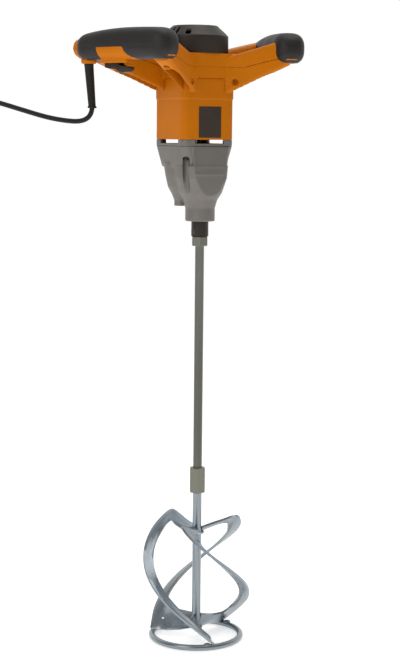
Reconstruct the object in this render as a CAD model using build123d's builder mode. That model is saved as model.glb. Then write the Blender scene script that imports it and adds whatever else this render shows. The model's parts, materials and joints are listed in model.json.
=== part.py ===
"""Hand-held paddle mixer for paint and mortar: motor housing with two bow handles, two-stage gearbox,
spindle, and a screw-in three-bladed stirrer that stands on its foot ring.

Frame: +Z up, origin on the spindle axis at floor level. The label side is the front, -Y.
The motor axis stands MOTOR_Y behind the spindle axis. All sizes are in millimetres.
"""

import math
import os

from build123d import *

os.makedirs("parts", exist_ok=True)

# ---------------------------------------------------------------- driving dimensions
MOTOR_Y = 18.0  # motor axis behind the spindle axis
BODY = 85.0  # side of the square motor housing
BODY_R = 10.0  # its corner radius
BODY_UPPER = 86.6  # side above the small step below the arms
WALL = 3.0  # moulded wall
COLLAR = 90.0  # side of the collar that the arms grow from
COLLAR_BORE = 82.4  # side of the square hole through the collar

CAP_TOP_Z, CAP_SHOULDER_Z = 902.0, 887.0
TOP_Z, SEAM_Z, COLLAR_Z = 862.0, 843.0, 827.0  # collar top, shell seam, collar underside
STEP_Z, HOUSING_Z, FLANGE_Z = 798.0, 740.0, 731.0  # small step, housing foot, gearbox flange
SKIRT_Z, BOSS_Z, NECK_TOP_Z, NECK_Z = 704.0, 644.0, 642.0, 623.0
SPINDLE_Z, NUT_Z = 601.0, 587.0  # spindle's lower face, stirrer nut's lower face
COUPLING_TOP_Z, COUPLING_Z = 259.0, 220.0
CAP_R, CAP_TOP_R = 48.0, 32.0
CAP_GAP = 0.5  # between the cap's wall and the arms beside it
NECK_R, SPINDLE_R, SHAFT_R = 21.5, 12.5, 6.5
CASE_FRONT_Y = -29.0  # front face of the gear case

GRIP_FRONT = (105.0, -67.0)  # front end of a grip's axis, from the middle plane
GRIP_BACK = (149.0, 56.0)  # back end of a grip's axis
GRIP_SEAM_Z, GRIP_UNDERSIDE_Z = 866.0, 855.0  # shell seam, and lower edge of the soft layer
SOFT = 2.4  # thickness of the soft layer on the grips
ARM_R = 7.0  # rounding of the arms' edges

RING_R, RING_BAR_R = 66.0, 4.4  # foot ring
BLADE_WIDTH, BLADE_THICK = 15.0, 4.0
BLADE_TURN = 152.0  # degrees that a blade winds from top to bottom
BLADE_STARTS = (-19.6, 100.4, 220.4)  # degrees, where each blade leaves the shaft
RUN = 0.05  # radial running clearance

# Gear train: module, driving teeth, driven teeth.
FIRST_STAGE = (0.8, 7, 41)
SECOND_STAGE = (1.25, 13, 38)

O = Vector(0, 0, 0)  # spindle axis
M = Vector(0, MOTOR_Y, 0)  # motor axis
REACH_1 = FIRST_STAGE[0] * (FIRST_STAGE[1] + FIRST_STAGE[2]) / 2  # motor to layshaft
REACH_2 = SECOND_STAGE[0] * (SECOND_STAGE[1] + SECOND_STAGE[2]) / 2  # spindle to layshaft
LAY_Y = (REACH_2**2 - REACH_1**2 + MOTOR_Y**2) / (2 * MOTOR_Y)
I = Vector(-math.sqrt(REACH_2**2 - LAY_Y**2), LAY_Y, 0)  # layshaft axis


def finish(builder, label):
    """Names a finished piece and writes it as a STEP file."""
    builder.part.label = label
    export_step(builder.part, f"parts/{label}.step")
    return builder.part


def level(z, at=O):
    """A horizontal plane at height z, with its origin on one of the three axes."""
    return Plane.XY.offset(z).move(Location((at.X, at.Y, 0)))


def turned(label, at, steps):
    """A solid of round steps on one axis: (bottom, top, outer radius, inner radius)."""
    with BuildPart() as piece:
        for bottom, top, outer, inner in steps:
            with BuildSketch(level(bottom, at)):
                Circle(outer)
                if inner:
                    Circle(inner, mode=Mode.SUBTRACT)
            extrude(amount=top - bottom)
    return finish(piece, label)


def gear_points(module, teeth, turn):
    """Corners of an involute gear's outline, with a tooth centred at the angle turn."""
    pitch = module * teeth / 2
    base = pitch * math.cos(math.radians(20))
    tip, root = pitch + 0.9 * module, pitch - 1.25 * module
    slim = 0.88  # share of the standard tooth thickness, which leaves backlash
    half = slim * math.pi / (2 * teeth) + math.tan(math.radians(20)) - math.radians(20)
    flank = []
    for step in range(4):
        radius = max(base, root) + (tip - max(base, root)) * step / 3
        pressure = math.acos(base / radius)
        flank.append((radius, half - (math.tan(pressure) - pressure)))
    tooth = [(root, flank[0][1])] if root < base else []
    tooth += flank
    points = []
    for index in range(teeth):
        middle = math.radians(turn) + 2 * math.pi * index / teeth
        for radius, angle in tooth:
            points.append((radius * math.cos(middle - angle), radius * math.sin(middle - angle)))
        for radius, angle in reversed(tooth):
            points.append((radius * math.cos(middle + angle), radius * math.sin(middle + angle)))
    return points


def heading(start, end):
    """Direction from one axis to another, in degrees."""
    return math.degrees(math.atan2(end.Y - start.Y, end.X - start.X))


# ================================================================ stirrer
HEX_FLATS = 22.0
M14_R, M14_BORE_R = 6.8, 6.86  # threads are plain cylinders
BLADE_TOP_Z, BLADE_FOOT_Z = 180.0, 12.0
HUB_TOP_Z = 165.0  # where the top arms meet the shaft

with BuildPart() as upper_shaft:
    with BuildSketch(level(COUPLING_TOP_Z - 18)):
        Circle(SHAFT_R)
    extrude(amount=NUT_Z - COUPLING_TOP_Z + 18)
    with BuildSketch(level(NUT_Z)):
        RegularPolygon(HEX_FLATS / 2, 6, major_radius=False)
    extrude(amount=SPINDLE_Z - NUT_Z)
    with BuildSketch(level(SPINDLE_Z)):
        Circle(M14_R)
    extrude(amount=17)
finish(upper_shaft, "upper_shaft")

with BuildPart() as coupling_nut:
    with BuildSketch(level(COUPLING_Z)):
        RegularPolygon(HEX_FLATS / 2, 6, major_radius=False)
        Circle(SHAFT_R, mode=Mode.SUBTRACT)
    extrude(amount=COUPLING_TOP_Z - COUPLING_Z)
    chamfer(coupling_nut.edges().filter_by(GeomType.LINE).group_by(Axis.Z)[-1], 1.2)
    chamfer(coupling_nut.edges().filter_by(GeomType.LINE).group_by(Axis.Z)[0], 1.2)
finish(coupling_nut, "coupling_nut")

lower_shaft = turned("lower_shaft", O, [(BLADE_FOOT_Z, COUPLING_TOP_Z - 18, SHAFT_R, 0)])

with BuildPart() as foot_ring:
    with BuildSketch(Plane.XZ):
        with Locations((RING_R, RING_BAR_R)):
            Circle(RING_BAR_R)
    revolve(axis=Axis.Z)
finish(foot_ring, "foot_ring")


def blade_place(share):
    """Turn in degrees, radius of the strip's middle and height, from the top, 0, to the foot, 1."""
    bulge = 17.0 * math.sin(math.pi * share) ** 0.9
    return BLADE_TURN * share, 57.0 + bulge, BLADE_TOP_Z - (BLADE_TOP_Z - BLADE_FOOT_Z - 6) * share


def on_axis(turn, radius, z):
    return Vector(radius * math.cos(math.radians(turn)), radius * math.sin(math.radians(turn)), z)


def leaning_plane(turn, radius, z):
    """Across a radial arm of the blade: its height leans as the twisted sheet does there."""
    out = Vector(math.cos(math.radians(turn)), math.sin(math.radians(turn)), 0)
    side = Vector(-out.Y, out.X, 0)
    rise = math.radians(BLADE_TURN) / (BLADE_TOP_Z - BLADE_FOOT_Z - 6) * radius
    up = (Vector(0, 0, 1) - side * rise).normalized()
    return Plane(origin=on_axis(turn, radius, z), x_dir=up, z_dir=out)


for number, start in enumerate(BLADE_STARTS, 1):
    with BuildPart() as blade:
        spans = 9
        for index in range(spans + 1):
            turn, radius, z = blade_place(index / spans)
            before = on_axis(*blade_place(max(0, index / spans - 0.01)))
            after = on_axis(*blade_place(min(1, index / spans + 0.01)))
            out = on_axis(turn, 1, 0)
            with BuildSketch(Plane(on_axis(turn, radius, z), x_dir=out, z_dir=after - before)):
                Rectangle(BLADE_WIDTH, BLADE_THICK)
        loft()
        for share, hub_z, hub_height in ((0, HUB_TOP_Z, 15), (1, 24.0, 20)):
            turn, radius, z = blade_place(share)
            with BuildSketch(leaning_plane(turn, 4.0, hub_z)):
                Rectangle(hub_height, BLADE_THICK)
            with BuildSketch(leaning_plane(turn, radius, z)):
                Rectangle(BLADE_WIDTH * 0.8, BLADE_THICK)
            loft()
        add(lower_shaft, mode=Mode.SUBTRACT)
    placed = blade.part.rotate(Axis.Z, start)
    with BuildPart() as placed_blade:
        add(placed)
        add(foot_ring.part, mode=Mode.SUBTRACT)
    finish(placed_blade, f"blade_{number}")

# ================================================================ gear train
OUTPUT_GEAR_Z, FIRST_GEAR_Z = (672.0, 690.0), (715.0, 723.0)

spindle_steps = [
    (SPINDLE_Z, NECK_Z - 0.6, SPINDLE_R, 0),
    (NECK_Z - 0.6, OUTPUT_GEAR_Z[1] + 4, 8.5, 0),
    (OUTPUT_GEAR_Z[1] + 4, 712.0, 5.0, 0),
]
with BuildPart() as spindle:
    for bottom, top, radius, inner in spindle_steps:
        with BuildSketch(level(bottom)):
            Circle(radius)
        extrude(amount=top - bottom)
    with BuildSketch(level(SPINDLE_Z)):
        Circle(M14_BORE_R)
    extrude(amount=19, mode=Mode.SUBTRACT)
    with BuildSketch(level(SPINDLE_Z + 2)):
        with GridLocations(2 * SPINDLE_R + 3, 0, 2, 1):
            Rectangle(5, 30)
    extrude(amount=8, mode=Mode.SUBTRACT)
finish(spindle, "spindle")

with BuildPart() as output_gear:
    module, driving, driven = SECOND_STAGE
    with BuildSketch(level(OUTPUT_GEAR_Z[0])):
        with BuildLine():
            Polyline(*gear_points(module, driven, heading(O, I)), close=True)
        make_face()
        Circle(8.5, mode=Mode.SUBTRACT)
    extrude(amount=OUTPUT_GEAR_Z[1] - OUTPUT_GEAR_Z[0])
finish(output_gear, "output_gear")

turned("spindle_circlip", O, [(OUTPUT_GEAR_Z[0] - 2.2, OUTPUT_GEAR_Z[0], 10.6, 8.5)])

with BuildPart() as layshaft:
    for bottom, top, radius in ((649.5, 659, 2.95), (659, 724.5, 5.0), (724.5, 730.5, 2.95)):
        with BuildSketch(level(bottom, I)):
            Circle(radius)
        extrude(amount=top - bottom)
    with BuildSketch(level(OUTPUT_GEAR_Z[0] - 1, I)):
        with BuildLine():
            Polyline(*gear_points(module, driving, heading(I, O) + 180 / driving), close=True)
        make_face()
    extrude(amount=OUTPUT_GEAR_Z[1] - OUTPUT_GEAR_Z[0] + 2)
finish(layshaft, "layshaft")

with BuildPart() as first_gear:
    module, driving, driven = FIRST_STAGE
    with BuildSketch(level(FIRST_GEAR_Z[0], I)):
        with BuildLine():
            Polyline(*gear_points(module, driven, heading(I, M)), close=True)
        make_face()
        Circle(5.0, mode=Mode.SUBTRACT)
    extrude(amount=FIRST_GEAR_Z[1] - FIRST_GEAR_Z[0])
finish(first_gear, "first_gear")

with BuildPart() as armature_shaft:
    with BuildSketch(level(FIRST_GEAR_Z[0] - 1, M)):
        with BuildLine():
            Polyline(*gear_points(module, driving, heading(M, I) + 180 / driving), close=True)
        make_face()
    extrude(amount=11)
    with BuildSketch(level(725, M)):
        Circle(3.95)
    extrude(amount=132)
finish(armature_shaft, "armature_shaft")

# ================================================================ motor
with BuildPart() as cooling_fan:
    with BuildSketch(level(742, M)):
        Circle(33)
        Circle(3.95, mode=Mode.SUBTRACT)
    extrude(amount=1.6)
    with BuildSketch(level(743.6, M)):
        Circle(9)
        Circle(3.95, mode=Mode.SUBTRACT)
        with PolarLocations(20.5, 11):
            Rectangle(24, 1.6)
    extrude(amount=7)
finish(cooling_fan, "cooling_fan")

with BuildPart() as armature_core:
    with BuildSketch(level(760, M)):
        Circle(21.5)
        with PolarLocations(20.5, 16):
            Rectangle(5, 1.8, mode=Mode.SUBTRACT)
        Circle(3.95, mode=Mode.SUBTRACT)
    extrude(amount=42)
finish(armature_core, "armature_core")

turned("commutator", M, [(812, 832, 13.0, 3.95)])

with BuildPart() as stator_core:
    with BuildSketch(level(760, M)):
        RectangleRounded(BODY - 2 * WALL, BODY - 2 * WALL, BODY_R - WALL)
        Circle(22.2, mode=Mode.SUBTRACT)
        with GridLocations(0, 52, 1, 2):
            SlotOverall(44, 10, mode=Mode.SUBTRACT)
    extrude(amount=42)
finish(stator_core, "stator_core")

with BuildPart() as stator_windings:
    for bottom in (753, 802):
        with BuildSketch(level(bottom, M)):
            Circle(36)
            Circle(24.5, mode=Mode.SUBTRACT)
        extrude(amount=7)
    with BuildSketch(level(760, M)):
        with GridLocations(0, 52, 1, 2):
            SlotOverall(43, 9)
    extrude(amount=42)
finish(stator_windings, "stator_windings")

with BuildPart() as brush_holders:
    with BuildSketch(level(816, M)):
        with GridLocations(46, 0, 2, 1):
            Rectangle(18, 13)
    extrude(amount=12)
    with BuildSketch(level(817, M)):
        with GridLocations(46, 0, 2, 1):
            Rectangle(30, 8)
    extrude(amount=10, mode=Mode.SUBTRACT)
finish(brush_holders, "brush_holders")

with BuildPart() as carbon_brushes:
    with BuildSketch(level(817, M)):
        with GridLocations(41, 0, 2, 1):
            Rectangle(14, 7.9)
    extrude(amount=10)
finish(carbon_brushes, "carbon_brushes")

CAP_SCREW = 60.0  # spacing of the cap's four screws
with BuildPart() as end_bracket:
    with BuildSketch(level(846, M)):
        RectangleRounded(COLLAR_BORE - 0.4, COLLAR_BORE - 0.4, BODY_R - 1)
        RectangleRounded(70, 70, 6, mode=Mode.SUBTRACT)
        with GridLocations(CAP_SCREW, CAP_SCREW, 2, 2):
            Circle(7)
        Circle(15)
        Rectangle(80, 9)
        Rectangle(9, 80)
        Circle(11, mode=Mode.SUBTRACT)
        with GridLocations(CAP_SCREW, CAP_SCREW, 2, 2):
            Circle(1.9, mode=Mode.SUBTRACT)
    extrude(amount=11)
finish(end_bracket, "end_bracket")

turned("motor_top_bearing", M, [(847, 854, 11.0, 4.0)])
turned("motor_bottom_bearing", M, [(727, 734, 11.0, 4.0)])
turned("layshaft_top_bush", I, [(726, 731, 5.0, 3.0)])
turned("layshaft_bottom_bush", I, [(649, 658, 5.5, 3.0)])
turned("spindle_top_bearing", O, [(704.5, 712, 13.0, 5.0 + RUN)])
turned("spindle_bottom_bearing", O, [(629, 640, 17.5, 8.5 + RUN)])
turned("oil_seal", O, [(624, 629, 15.0, 8.5 + RUN)])

# ================================================================ gearbox
CORNER_SCREW = 66.0  # spacing of the four screws that hold the gearbox to the housing
PLATE_R = 36.0  # the gear plate is a disc on the motor axis

with BuildPart() as gear_plate:
    with BuildSketch(level(704.5, M)):
        Circle(PLATE_R)
    extrude(amount=7.5)
    with BuildSketch(level(704.5)):
        Circle(13)
    extrude(amount=7.5, mode=Mode.SUBTRACT)
    with BuildSketch(level(704.5, I)):
        Circle(9)
    extrude(amount=7.5, mode=Mode.SUBTRACT)
finish(gear_plate, "gear_plate")

with BuildPart() as bearing_plate:
    with BuildSketch(level(FLANGE_Z, M)):
        RectangleRounded(BODY, BODY, BODY_R)
    extrude(amount=3.5)
    with BuildSketch(level(FLANGE_Z + 3.5, M)):
        RectangleRounded(BODY, BODY, BODY_R)
        RectangleRounded(BODY - 9, BODY - 9, BODY_R - 4, mode=Mode.SUBTRACT)
        Rectangle(BODY + 2, BODY - 36, mode=Mode.SUBTRACT)
        Rectangle(BODY - 36, BODY + 2, mode=Mode.SUBTRACT)
    extrude(amount=HOUSING_Z - FLANGE_Z - 3.5)
    with BuildSketch(level(726, M)):
        Circle(13.5)
        with Locations((I.X - M.X, I.Y - M.Y)):
            Circle(7.5)
    extrude(amount=5)
    with BuildSketch(level(726, M)):
        Circle(11)
        with Locations((I.X - M.X, I.Y - M.Y)):
            Circle(5)
    extrude(amount=5, mode=Mode.SUBTRACT)
    with BuildSketch(level(FLANGE_Z, M)):
        Circle(11)
        with GridLocations(CORNER_SCREW, CORNER_SCREW, 2, 2):
            Circle(2.1)
    extrude(amount=HOUSING_Z - FLANGE_Z, mode=Mode.SUBTRACT)
finish(bearing_plate, "bearing_plate")

with BuildPart() as gearbox_casting:
    with BuildSketch(Plane.XZ):
        with BuildLine():
            Polyline((0, 703), (40, 703), (38.5, 685), (31.5, 664), (25, 654))
            Polyline((25, 654), (NECK_R, NECK_TOP_Z), (0, NECK_TOP_Z), (0, 703))
        make_face()
    revolve(axis=Axis.Z)
    with BuildSketch(Plane.XY.offset(NECK_TOP_Z - 1)):
        with Locations((0, CASE_FRONT_Y + 50)):
            RectangleRounded(90, 100, 16)
    extrude(amount=63, mode=Mode.INTERSECT)
    with BuildSketch(level(NECK_Z)):
        Circle(NECK_R)
    extrude(amount=NECK_TOP_Z - NECK_Z + 1)
    with BuildSketch(Plane(origin=I, x_dir=(1, 0, 0), z_dir=(0, -1, 0))):
        with BuildLine():
            Polyline((0, 706), (25, 706), (22.5, 690), (18.5, 672), (12.5, 661), (9, 652))
            Polyline((9, 652), (9, BOSS_Z), (0, BOSS_Z), (0, 706))
        make_face()
    revolve(axis=Axis(I, (0, 0, 1)))
    with BuildSketch(level(FLANGE_Z, M)):
        RectangleRounded(BODY, BODY, BODY_R)
    with BuildSketch(level(SKIRT_Z - 3, M)):
        RectangleRounded(79, 79, 21)
    loft()
    for z, radius, depth in ((712, 38.5, FLANGE_Z - 712), (SKIRT_Z + 0.5, PLATE_R, 8)):
        with BuildSketch(level(z, M)):
            Circle(radius)
        extrude(amount=depth, mode=Mode.SUBTRACT)
    with BuildSketch(Plane.XZ):
        with BuildLine():
            Polyline((0, 640), (16, 640), (16, 652), (25.8, 669), (25.8, 694))
            Polyline((25.8, 694), (12, 694), (12, 705), (0, 705), (0, 640))
        make_face()
    revolve(axis=Axis.Z, mode=Mode.SUBTRACT)
    bores = (
        (I, 649, 658, 5.5),
        (I, 658, 662, 6.0),
        (I, 662, 705, 9.8),
        (O, 629, 640, 17.5),
        (O, NECK_Z, 629, 15.0),
    )
    for at, bottom, top, radius in bores:
        with BuildSketch(level(bottom, at)):
            Circle(radius)
        extrude(amount=top - bottom, mode=Mode.SUBTRACT)
    with BuildSketch(level(NECK_Z, M)):
        with GridLocations(CORNER_SCREW, CORNER_SCREW, 2, 2):
            Circle(5.2)
    extrude(amount=716 - NECK_Z, mode=Mode.SUBTRACT)
    with BuildSketch(level(716, M)):
        with GridLocations(CORNER_SCREW, CORNER_SCREW, 2, 2):
            Circle(2.1)
    extrude(amount=FLANGE_Z - 716, mode=Mode.SUBTRACT)
finish(gearbox_casting, "gearbox_casting")

with BuildPart() as gearbox_screws:
    for bottom, top, radius in ((711.5, 716, 4.2), (716, HOUSING_Z + 8, 2.0)):
        with BuildSketch(level(bottom, M)):
            with GridLocations(CORNER_SCREW, CORNER_SCREW, 2, 2):
                Circle(radius)
        extrude(amount=top - bottom)
finish(gearbox_screws, "gearbox_screws")

# ================================================================ housing
with BuildPart() as motor_housing:
    for bottom, top, side, radius in (
        (HOUSING_Z, STEP_Z, BODY, BODY_R),
        (STEP_Z, COLLAR_Z, BODY_UPPER, BODY_R),
        (COLLAR_Z, 846, COLLAR_BORE - 0.4, BODY_R - 1),
    ):
        with BuildSketch(level(bottom, M)):
            RectangleRounded(side, side, radius)
        extrude(amount=top - bottom)
    with BuildSketch(level(HOUSING_Z, M)):
        RectangleRounded(BODY - 2 * WALL, BODY - 2 * WALL, BODY_R - WALL)
    extrude(amount=120, mode=Mode.SUBTRACT)
    with BuildSketch(level(HOUSING_Z, M)):
        with GridLocations(CORNER_SCREW, CORNER_SCREW, 2, 2):
            Circle(8)
    extrude(amount=12)
    with BuildSketch(level(HOUSING_Z, M)):
        with GridLocations(CORNER_SCREW, CORNER_SCREW, 2, 2):
            Circle(2.0)
    extrude(amount=9, mode=Mode.SUBTRACT)
finish(motor_housing, "motor_housing")

LABEL_MIDDLE_Z = 765.0
LABEL_PLANE = Plane(origin=(0, MOTOR_Y - BODY / 2, LABEL_MIDDLE_Z), x_dir=(1, 0, 0), z_dir=(0, -1, 0))
with BuildPart() as label_plate:
    with BuildSketch(LABEL_PLANE):
        RectangleRounded(37, 44, 1)
    extrude(amount=0.5)
finish(label_plate, "label_plate")

CAP_FOOT_Z, CAP_SEAT_Z = 857.0, 888.0  # the cap's screw posts stand on the end bracket
with BuildPart() as top_cap:
    with BuildSketch(Plane(origin=M, x_dir=(1, 0, 0), z_dir=(0, -1, 0))):
        with BuildLine():
            Polyline((0, CAP_TOP_Z), (CAP_TOP_R, CAP_TOP_Z), (CAP_R, CAP_SHOULDER_Z), (CAP_R, TOP_Z))
            Polyline((CAP_R, TOP_Z), (CAP_R - 3, TOP_Z), (CAP_R - 3, CAP_SHOULDER_Z - 1))
            Polyline((CAP_R - 3, CAP_SHOULDER_Z - 1), (CAP_TOP_R - 1, CAP_TOP_Z - 3), (0, CAP_TOP_Z - 3), (0, CAP_TOP_Z))
        make_face()
    revolve(axis=Axis(M, (0, 0, 1)))
    for side in (1, -1):
        for index in range(4):
            bearing = math.radians((index - 1.5) * 14)
            with BuildSketch(level(CAP_SHOULDER_Z - 3, M)):
                spot = (side * 42 * math.cos(bearing), 42 * math.sin(bearing))
                with Locations(Location(spot, math.degrees(bearing) * side)):
                    Rectangle(14, 4.2)
            extrude(amount=18, mode=Mode.SUBTRACT)
    with BuildSketch(level(CAP_FOOT_Z, M)):
        with GridLocations(CAP_SCREW, CAP_SCREW, 2, 2):
            Circle(4.5)
    extrude(amount=CAP_SEAT_Z - CAP_FOOT_Z)
    for bottom, radius in ((CAP_FOOT_Z, 2.1), (CAP_SEAT_Z - 3, 4.0)):
        with BuildSketch(level(bottom, M)):
            with GridLocations(CAP_SCREW, CAP_SCREW, 2, 2):
                Circle(radius)
        extrude(amount=CAP_TOP_Z - bottom, mode=Mode.SUBTRACT)
finish(top_cap, "top_cap")

with BuildPart() as cap_screws:
    for bottom, top, radius in ((847, CAP_SEAT_Z - 3, 1.9), (CAP_SEAT_Z - 3, CAP_SEAT_Z, 3.8)):
        with BuildSketch(level(bottom, M)):
            with GridLocations(CAP_SCREW, CAP_SCREW, 2, 2):
                Circle(radius)
        extrude(amount=top - bottom)
finish(cap_screws, "cap_screws")

# ================================================================ handles
KNUCKLE_Z = 869.0
GRIP_DIR = (Vector(*GRIP_BACK) - Vector(*GRIP_FRONT)).normalized()
GRIP_OUT = Vector(GRIP_DIR.Y, -GRIP_DIR.X)
GRIP_LENGTH = (Vector(*GRIP_BACK) - Vector(*GRIP_FRONT)).length
# distance along the grip, width, height, height of the middle
GRIP_SECTIONS = (
    (-21, 24, 24, 868),
    (-14, 37, 35, 869),
    (0, 44, 41, 871),
    (65, 44, 42, 872),
    (GRIP_LENGTH, 42, 37, 868),
    (GRIP_LENGTH + 13, 35, 31, 867),
    (GRIP_LENGTH + 19, 24, 22, 867),
)


def grip_plane(along, z):
    foot = Vector(*GRIP_FRONT) + GRIP_DIR * along
    return Plane(origin=(foot.X, foot.Y, z), x_dir=GRIP_OUT, z_dir=GRIP_DIR)


def grip_solid(inset):
    """The right-hand grip as one solid, inset all round."""
    with BuildPart() as grip:
        for along, width, height, z in GRIP_SECTIONS:
            inward = inset * (1 if along < 0 else -1 if along > GRIP_LENGTH else 0)
            with BuildSketch(grip_plane(along + inward, z)):
                RectangleRounded(width - 2 * inset, height - 2 * inset, 0.38 * height - inset)
        loft(ruled=True)
    return grip.part


# of each right-hand arm: root, tip, how much shorter it is, and (width, height, middle) at the root and the tip
ARMS = (
    ((33, -21), GRIP_FRONT, 0, (18, 56, 825.5), (26, 38, KNUCKLE_Z - 3)),
    ((35, 44), GRIP_BACK, 14, (30, 62.5, 828.75), (30, 38, KNUCKLE_Z - 3)),
)


def arms_solid(inset, reach, root):
    """Both right-hand arms, inset all round, from the root inside the collar to the grip's ends."""
    with BuildPart() as arms:
        for inner, outer, short, at_root, at_tip in ARMS:
            run = Vector(*outer) - Vector(*inner)
            ends = ((inner, -root, at_root), (outer, reach - short, at_tip))
            for foot, onwards, (width, height, z) in ends:
                base = Vector(*foot) + run.normalized() * onwards
                with BuildSketch(Plane(origin=(base.X, base.Y, z), x_dir=(-run.Y, run.X, 0), z_dir=run)):
                    RectangleRounded(width - 2 * inset, height - 2 * inset, ARM_R - inset)
            loft(ruled=True)
    return arms.part


def both_sides(part):
    return [part, part.mirror(Plane.YZ)]


grip_full, grip_core, grip_hollow = grip_solid(0), grip_solid(SOFT), grip_solid(SOFT + 2.8)
arms_full, arms_hollow = arms_solid(0, 2, 16), arms_solid(2.8, 0, -6)


def left_plane(along, z, inwards=0):
    """Across the left-hand grip: x runs outwards, and the normal along the grip to the back."""
    foot = Vector(*GRIP_FRONT) + GRIP_DIR * along - GRIP_OUT * inwards
    return Plane(origin=(-foot.X, foot.Y, z), x_dir=(-GRIP_OUT.X, GRIP_OUT.Y, 0), z_dir=(-GRIP_DIR.X, GRIP_DIR.Y, 0))


def across_left(along, z):
    """Along the left-hand grip: the normal runs inwards, x along the grip to the back, y up."""
    plane = left_plane(along, z)
    return Plane(origin=plane.origin, x_dir=plane.z_dir, z_dir=-plane.x_dir)


def left_bar(start, end, z, radius):
    """A round bar along the left-hand grip."""
    with BuildPart() as bar:
        with BuildSketch(left_plane(start, z)):
            Circle(radius)
        extrude(amount=end - start)
    return bar.part


TRIGGER_FROM, TRIGGER_TO = 60.0, 98.0  # along the left grip, from its front end
TRIGGER_Z = 853.0  # height of the trigger's pivot
PIVOT_ALONG = 95.5
RIM_Z = 845.0  # lower edge of the rim around the trigger
BUTTON_ALONG, BUTTON_Z, BUTTON_R = 84.0, 872.0, 5.0
DIAL_Z, DIAL_R = 867.0, 9.6
DIAL_BACK = GRIP_LENGTH + 19.4
BEZEL_R = 12.6
SOCKET = (-151.0, 58.3)
HANDLE_SCREWS = ((92.0, -58.0, 840.5, 857.0), (110.0, 51.0, 837.5, 862.5))  # x, y, head, seam

with BuildPart() as trigger_window:
    with BuildSketch(left_plane(TRIGGER_FROM - 1, 850)):
        Rectangle(15.4, 22)
    extrude(amount=TRIGGER_TO - TRIGGER_FROM + 2)

with BuildPart() as button_window:
    with BuildSketch(across_left(BUTTON_ALONG, BUTTON_Z)):
        Circle(BUTTON_R + 0.2)
    extrude(amount=30)

with BuildPart() as switch_patch:
    with BuildSketch(left_plane(TRIGGER_FROM + 5, 862)):
        with Locations((16, 0)):
            Rectangle(20, 18)
    extrude(amount=34)

with BuildPart() as soft_zone:  # where the grips' skin is soft, which is all but their underside and the switch
    with BuildSketch(level(GRIP_UNDERSIDE_Z, M)):
        Rectangle(500, 500)
    extrude(amount=60)
    add(switch_patch.part, mode=Mode.SUBTRACT)

with BuildPart() as trigger_rim:
    with BuildSketch(left_plane(TRIGGER_FROM - 4, (RIM_Z + GRIP_UNDERSIDE_Z - 0.5) / 2)):
        RectangleRounded(22, GRIP_UNDERSIDE_Z - 0.5 - RIM_Z, 2)
    extrude(amount=TRIGGER_TO - TRIGGER_FROM + 8)
    add(grip_hollow.mirror(Plane.YZ), mode=Mode.SUBTRACT)

with BuildPart() as trigger_pin:
    with BuildSketch(across_left(PIVOT_ALONG, TRIGGER_Z)):
        Circle(1.5)
    extrude(amount=9.5, both=True)
finish(trigger_pin, "trigger_pin")

with BuildPart() as screw_posts:
    for x, y, head_z, seam_z in HANDLE_SCREWS:
        with BuildSketch(level(head_z - 12)):
            with Locations((x, y)):
                Circle(5)
        extrude(amount=60)
    add(arms_full, mode=Mode.INTERSECT)

with BuildPart() as handle_screws:
    for x, y, head_z, seam_z in HANDLE_SCREWS:
        with BuildSketch(level(head_z)):
            with Locations((x, y), (-x, y)):
                Circle(3.8)
        extrude(amount=3)
        with BuildSketch(level(head_z + 3)):
            with Locations((x, y), (-x, y)):
                Circle(2)
        extrude(amount=seam_z + 9 - head_z - 3)
finish(handle_screws, "handle_screws")

with BuildPart() as screw_drills:
    for x, y, head_z, seam_z in HANDLE_SCREWS:
        for bottom, top, radius in ((head_z - 15, head_z + 3, 4.1), (head_z + 3, seam_z + 9, 2.0)):
            with BuildSketch(level(bottom)):
                with Locations((x, y), (-x, y)):
                    Circle(radius)
            extrude(amount=top - bottom)

ARM_HOLE = (36.0, 822.0)
with BuildPart() as arm_holes:
    with BuildSketch(Plane.XZ.offset(60)):
        with Locations((ARM_HOLE[0], ARM_HOLE[1]), (-ARM_HOLE[0], ARM_HOLE[1])):
            Circle(4.4)
    extrude(amount=-32)

with BuildPart() as bow_outer:
    for side in both_sides(grip_full):
        add(side)
    add(soft_zone.part, mode=Mode.SUBTRACT)
    for part in (grip_core, arms_full):
        for side in both_sides(part):
            add(side)
    with BuildSketch(level(COLLAR_Z, M)):
        RectangleRounded(COLLAR, COLLAR, BODY_R + 2)
    extrude(amount=TOP_Z - COLLAR_Z)
    for part in (grip_hollow, arms_hollow):
        for side in both_sides(part):
            add(side, mode=Mode.SUBTRACT)
    for side in both_sides(screw_posts.part):
        add(side)
    add(left_bar(GRIP_LENGTH + 9, GRIP_LENGTH + 23, DIAL_Z, BEZEL_R))
    add(left_bar(DIAL_BACK - 0.4, DIAL_BACK + 9, DIAL_Z, DIAL_R + 0.3), mode=Mode.SUBTRACT)
    add(left_bar(GRIP_LENGTH, DIAL_BACK, DIAL_Z, 3 + RUN), mode=Mode.SUBTRACT)
    add(trigger_rim.part)
    with BuildSketch(level(COLLAR_Z - 40, M)):
        RectangleRounded(BODY_UPPER, BODY_UPPER, BODY_R)
    extrude(amount=40, mode=Mode.SUBTRACT)
    with BuildSketch(level(COLLAR_Z, M)):
        RectangleRounded(COLLAR_BORE, COLLAR_BORE, BODY_R - 1)
    extrude(amount=60, mode=Mode.SUBTRACT)
    with BuildSketch(level(TOP_Z, M)):
        Circle(CAP_R + CAP_GAP)
    extrude(amount=60, mode=Mode.SUBTRACT)
    for cut in (trigger_window, button_window, trigger_pin, screw_drills, arm_holes):
        add(cut.part, mode=Mode.SUBTRACT)

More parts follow.
